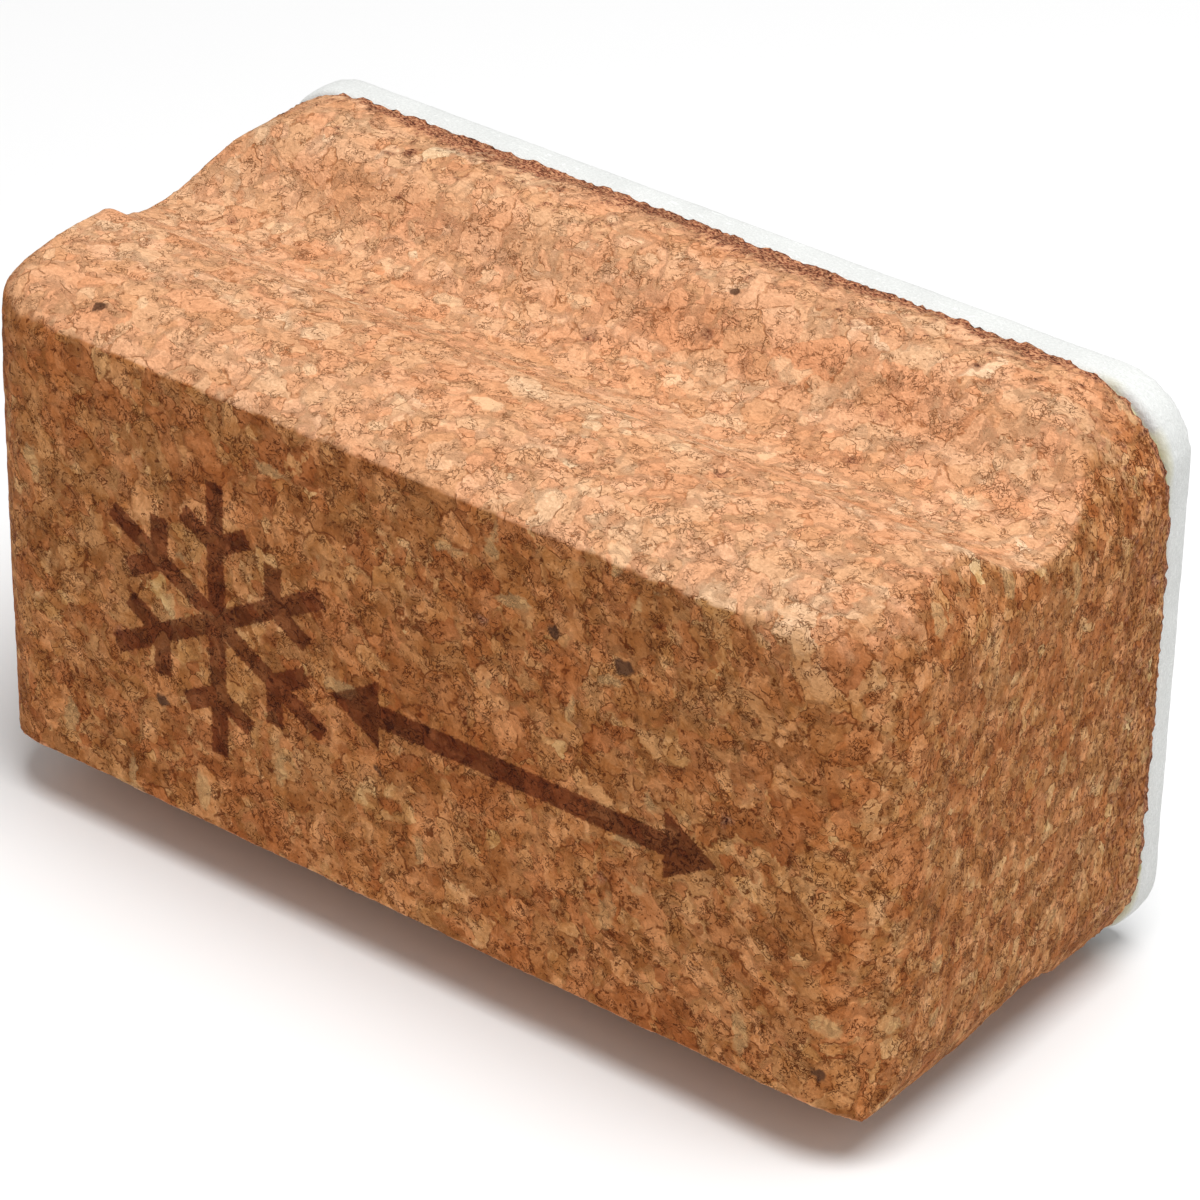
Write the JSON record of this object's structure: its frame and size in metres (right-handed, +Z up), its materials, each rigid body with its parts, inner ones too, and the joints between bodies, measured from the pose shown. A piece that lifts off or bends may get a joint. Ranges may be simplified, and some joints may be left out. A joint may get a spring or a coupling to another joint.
{
  "type": "ski wax polishing cork",
  "caption": "Hand block of pressed cork granules with a finger groove along its top and underside and a felt pad bonded to its back, for rubbing in and polishing ski wax.",
  "frame": {"origin": "middle of the footprint, on the surface that the lower grooved side rests on", "axes": "+X along the block's length, +Y from the bare cork rubbing face to the felt, +Z up from the lower grooved side to the upper one"},
  "size_m": [0.1, 0.0462, 0.058],
  "materials": {
    "cork": "bare pressed cork granules, matte, sanded on the rubbing face",
    "glue": "cured contact adhesive, yellowish, slightly glossy",
    "felt": "dense pressed felt, off-white, matte"
  },
  "bodies": {
    "root": {"cork_block": "cork", "glue_film": "glue", "felt_pad": "felt"}
  },
  "joints": []
}
